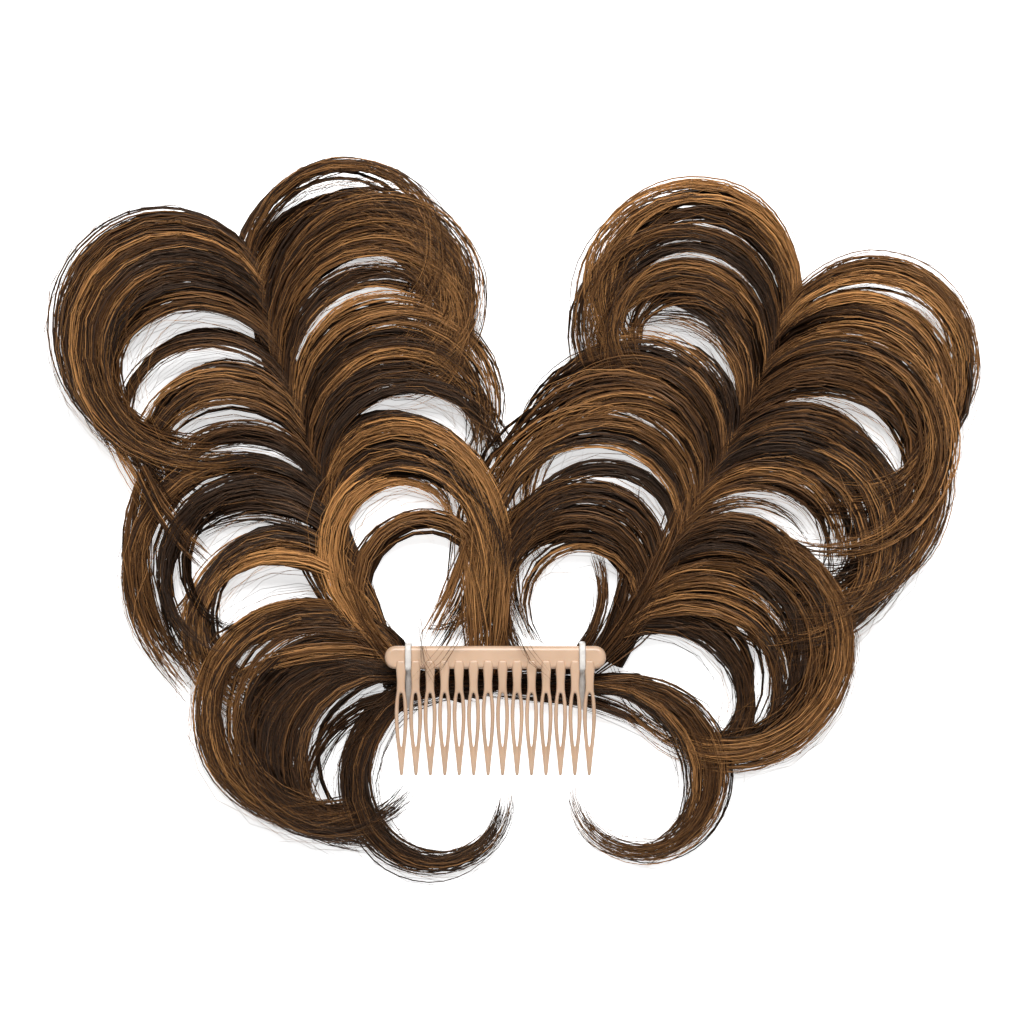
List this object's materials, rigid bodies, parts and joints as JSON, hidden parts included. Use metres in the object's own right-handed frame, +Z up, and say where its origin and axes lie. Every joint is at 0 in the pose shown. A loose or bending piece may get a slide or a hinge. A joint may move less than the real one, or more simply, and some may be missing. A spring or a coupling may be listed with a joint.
{
  "type": "comb-in curled hairpiece",
  "caption": "Comb-in hairpiece with feathered wings of curled hair spread to each side of a moulded side comb that ties hold on the hair.",
  "frame": {"origin": "middle of the hairpiece's outline, on the surface that it lies on", "axes": "+X to the right along the comb's bar, +Y away from the tines and up the wings, +Z up, out of the comb's front face"},
  "size_m": [0.3241, 0.2496, 0.0262],
  "materials": {
    "hair": "glossy synthetic hair, dark brown with golden brown streaks",
    "comb": "moulded peach plastic, satin",
    "tie": "clear white strap"
  },
  "bodies": {
    "root": {"comb": "comb", "comb_tie_left": "tie", "comb_tie_right": "tie", "left_curls": "hair", "right_curls": "hair"}
  },
  "joints": []
}
